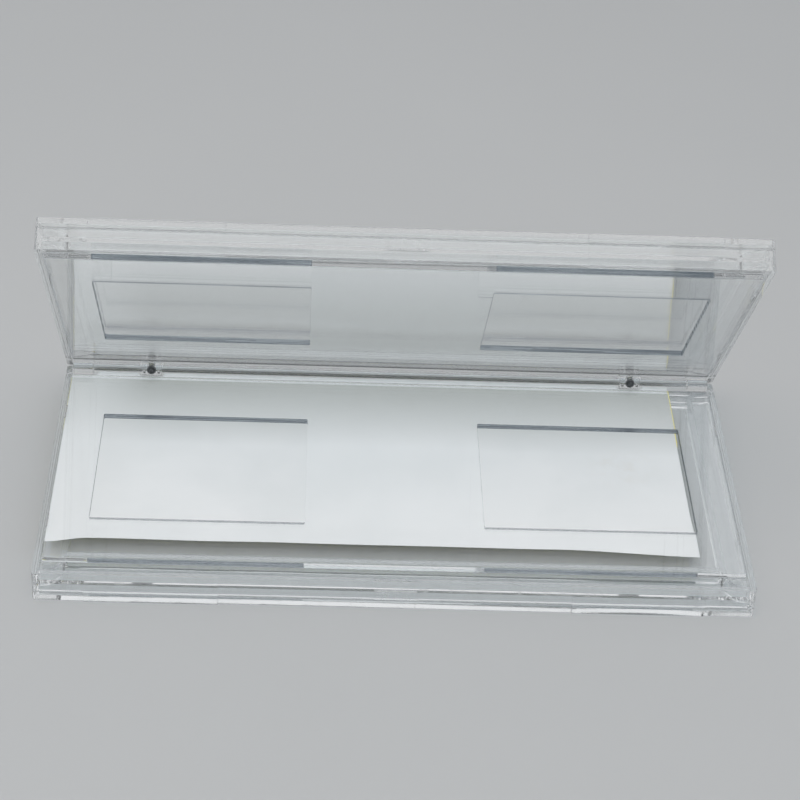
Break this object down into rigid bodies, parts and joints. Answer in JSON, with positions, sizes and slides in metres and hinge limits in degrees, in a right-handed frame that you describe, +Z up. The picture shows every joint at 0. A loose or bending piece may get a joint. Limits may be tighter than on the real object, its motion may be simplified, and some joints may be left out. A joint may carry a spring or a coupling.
{
  "type": "wet palette",
  "caption": "Folding clear plastic wet palette: two hinged halves with open well plates, white palette paper over a damp cloth, and a lid held by friction.",
  "frame": {"origin": "centre of the flat underside of the lower half, which the palette rests on", "axes": "+Z up from the underside, +X to the right along the hinge, front edge towards -Y, hinge along +Y"},
  "size_m": [0.2, 0.1076, 0.0948],
  "materials": {
    "clear_cover": "clear, polished",
    "clear_frame": "clear, polished",
    "clear_plate": "clear, polished",
    "yellow_cloth": "damp absorbent cloth",
    "white_paper": "matt paper",
    "dark_rubber": "satin",
    "steel_rod": "drawn wire"
  },
  "bodies": {
    "base": {"base_cover": "clear_cover", "base_frame": "clear_frame", "base_well_plate": "clear_plate", "hydration_cloth": "yellow_cloth", "palette_paper": "white_paper", "friction_plug_left": "dark_rubber", "friction_plug_right": "dark_rubber"},
    "lid": {"lid_cover": "clear_cover", "lid_frame": "clear_frame", "lid_well_plate": "clear_plate", "hinge_rod": "steel_rod"}
  },
  "joints": [
    {"name": "lid_hinge", "type": "hinge", "parent": "base", "child": "lid", "pos_m": [0, 0.05, 0.00925], "axis": [-1, 0, 0], "range_deg": [-52.8, 127.2]}
  ]
}
